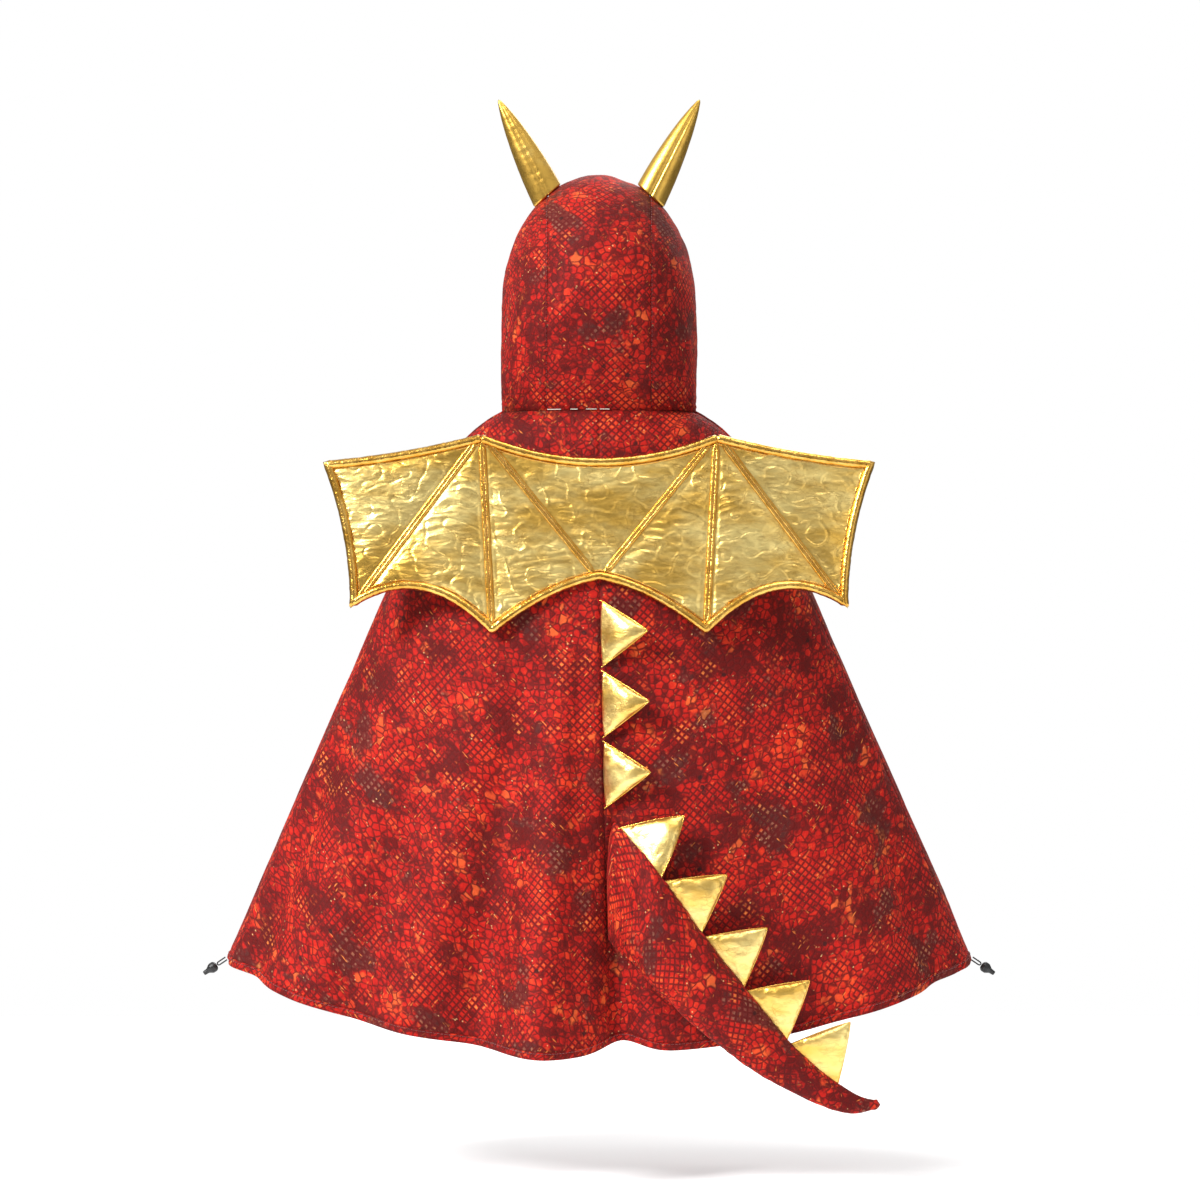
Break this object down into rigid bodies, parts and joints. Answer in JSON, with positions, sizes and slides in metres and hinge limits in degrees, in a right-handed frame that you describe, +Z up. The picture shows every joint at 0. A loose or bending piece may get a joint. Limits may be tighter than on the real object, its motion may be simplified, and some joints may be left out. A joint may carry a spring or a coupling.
{
  "type": "superhero cape",
  "caption": "child's hooded dragon cape: A-line cape with a horned hood, quilted wings, a row of stuffed spikes, a stuffed tail and cord pulls at the hem",
  "frame": {"origin": "middle of the neck opening at the height of the neck seam, where the wearer's neck holds the cape", "axes": "+Z up, +Y the way the wearer faces, +X the wearer's right seen from behind"},
  "size_m": [0.8724, 0.3786, 1.0992],
  "materials": {
    "red_print": "short velvety pile with a printed reptile-scale pattern, red with orange and maroon patches",
    "red_lining": "plain smooth woven lining",
    "gold_foil": "metallic gold foil cloth, crinkled, quilted",
    "stuffing": "loose polyester fibre",
    "black_plastic": "moulded, slightly glossy",
    "black_cord": "thin round elastic cord",
    "touch_fastener": "hook and loop tape"
  },
  "bodies": {
    "cape": {"back_left_panel": "red_print", "back_lining": "red_lining", "back_right_panel": "red_print", "closure_loop_pad": "touch_fastener", "front_left_facing": "red_print", "front_left_lining": "red_lining", "front_left_panel": "red_print", "front_right_facing": "red_print", "front_right_lining": "red_lining", "front_right_panel": "red_print", "hem_band_back": "red_print", "hem_band_front_left": "red_print", "hem_band_front_right": "red_print", "neck_tape": "red_lining", "wing_center_backing": "gold_foil", "wing_center_cover": "gold_foil", "wing_center_padding": "stuffing"},
    "hood": {"hood_center_panel": "red_print", "hood_face_binding": "red_print", "hood_left_panel": "red_print", "hood_lining": "red_lining", "hood_right_panel": "red_print"},
    "horn_left": {"horn_left_inner_cover": "gold_foil", "horn_left_outer_cover": "gold_foil", "horn_left_stuffing": "stuffing"},
    "wing_left": {"wing_left_backing": "gold_foil", "wing_left_cover": "gold_foil", "wing_left_padding": "stuffing"},
    "pull_left": {"cord_left": "black_cord", "cord_end_left": "black_plastic"},
    "horn_right": {"horn_right_inner_cover": "gold_foil", "horn_right_outer_cover": "gold_foil", "horn_right_stuffing": "stuffing"},
    "wing_right": {"wing_right_backing": "gold_foil", "wing_right_cover": "gold_foil", "wing_right_padding": "stuffing"},
    "pull_right": {"cord_right": "black_cord", "cord_end_right": "black_plastic"},
    "back_spike_1": {"back_spike_1_cover": "gold_foil", "back_spike_1_stuffing": "stuffing"},
    "back_spike_2": {"back_spike_2_cover": "gold_foil", "back_spike_2_stuffing": "stuffing"},
    "back_spike_3": {"back_spike_3_cover": "gold_foil", "back_spike_3_stuffing": "stuffing"},
    "tail": {"tail_outer_half": "red_print", "tail_inner_half": "red_print", "tail_stuffing": "stuffing"},
    "tail_spike_1": {"tail_spike_1_cover": "gold_foil", "tail_spike_1_stuffing": "stuffing"},
    "tail_spike_2": {"tail_spike_2_cover": "gold_foil", "tail_spike_2_stuffing": "stuffing"},
    "tail_spike_3": {"tail_spike_3_cover": "gold_foil", "tail_spike_3_stuffing": "stuffing"},
    "tail_spike_4": {"tail_spike_4_cover": "gold_foil", "tail_spike_4_stuffing": "stuffing"},
    "tail_spike_5": {"tail_spike_5_cover": "gold_foil", "tail_spike_5_stuffing": "stuffing"},
    "closure_tab": {"closure_tab": "red_print", "closure_hook_pad": "touch_fastener"}
  },
  "joints": [
    {"name": "hood_tilt_back", "type": "hinge", "parent": "cape", "child": "hood", "pos_m": [0, -0.075, 0.0002], "axis": [1, 0, 0], "range_deg": [0, 70]},
    {"name": "horn_left_lean", "type": "hinge", "parent": "hood", "child": "horn_left", "pos_m": [-0.07119, 0.00534, 0.22612], "axis": [0, -1, 0], "range_deg": [0, 25]},
    {"name": "horn_right_lean", "type": "hinge", "parent": "hood", "child": "horn_right", "pos_m": [0.07119, 0.00534, 0.22612], "axis": [0, 1, 0], "range_deg": [0, 25]},
    {"name": "wing_right_fold", "type": "hinge", "parent": "cape", "child": "wing_right", "pos_m": [0.121, -0.10667, -0.135], "axis": [-0.055, -0.128, -0.9903], "range_deg": [0, 65]},
    {"name": "wing_left_fold", "type": "hinge", "parent": "cape", "child": "wing_left", "pos_m": [-0.121, -0.10667, -0.135], "axis": [-0.055, 0.128, 0.9903], "range_deg": [0, 65]},
    {"name": "back_spike_1_flop", "type": "hinge", "parent": "cape", "child": "back_spike_1", "pos_m": [0.00133, -0.12109, -0.24217], "axis": [0.0161, -0.1267, -0.9918], "range_deg": [0, 105]},
    {"name": "back_spike_2_flop", "type": "hinge", "parent": "cape", "child": "back_spike_2", "pos_m": [0.00268, -0.13027, -0.3175], "axis": [0.0197, -0.1155, -0.9931], "range_deg": [0, 105]},
    {"name": "back_spike_3_flop", "type": "hinge", "parent": "cape", "child": "back_spike_3", "pos_m": [0.00431, -0.13867, -0.39283], "axis": [0.0231, -0.106, -0.9941], "range_deg": [0, 105]},
    {"name": "tail_swing", "type": "hinge", "parent": "cape", "child": "tail", "pos_m": [0.00739, -0.15171, -0.499], "axis": [0, -0.1057, -0.9944], "range_deg": [0, 95]},
    {"name": "tail_spike_1_flop", "type": "hinge", "parent": "tail", "child": "tail_spike_1", "pos_m": [0.04937, -0.16174, -0.47073], "axis": [0.5964, -0.3788, -0.7077], "range_deg": [-8, 70]},
    {"name": "tail_spike_2_flop", "type": "hinge", "parent": "tail", "child": "tail_spike_2", "pos_m": [0.09198, -0.17802, -0.52959], "axis": [0.5898, -0.0437, -0.8064], "range_deg": [-8, 70]},
    {"name": "tail_spike_3_flop", "type": "hinge", "parent": "tail", "child": "tail_spike_3", "pos_m": [0.13589, -0.17972, -0.58745], "axis": [0.6188, -0.0027, -0.7856], "range_deg": [-8, 70]},
    {"name": "tail_spike_4_flop", "type": "hinge", "parent": "tail", "child": "tail_spike_4", "pos_m": [0.18148, -0.1775, -0.64421], "axis": [0.6318, 0.0634, -0.7725], "range_deg": [-8, 70]},
    {"name": "tail_spike_5_flop", "type": "hinge", "parent": "tail", "child": "tail_spike_5", "pos_m": [0.2315, -0.17089, -0.69578], "axis": [0.7527, 0.1182, -0.6476], "range_deg": [-8, 70]},
    {"name": "closure_tab_open", "type": "hinge", "parent": "cape", "child": "closure_tab", "pos_m": [-0.032, 0.08335, -0.02], "axis": [0, -0.3644, 0.9313], "range_deg": [0, 110]},
    {"name": "pull_left_swing", "type": "hinge", "parent": "cape", "child": "pull_left", "pos_m": [-0.4098, 0, -0.6], "axis": [0, -1, 0], "range_deg": [-20, 56]},
    {"name": "pull_right_swing", "type": "hinge", "parent": "cape", "child": "pull_right", "pos_m": [0.4098, 0, -0.6], "axis": [0, 1, 0], "range_deg": [-20, 56]}
  ]
}
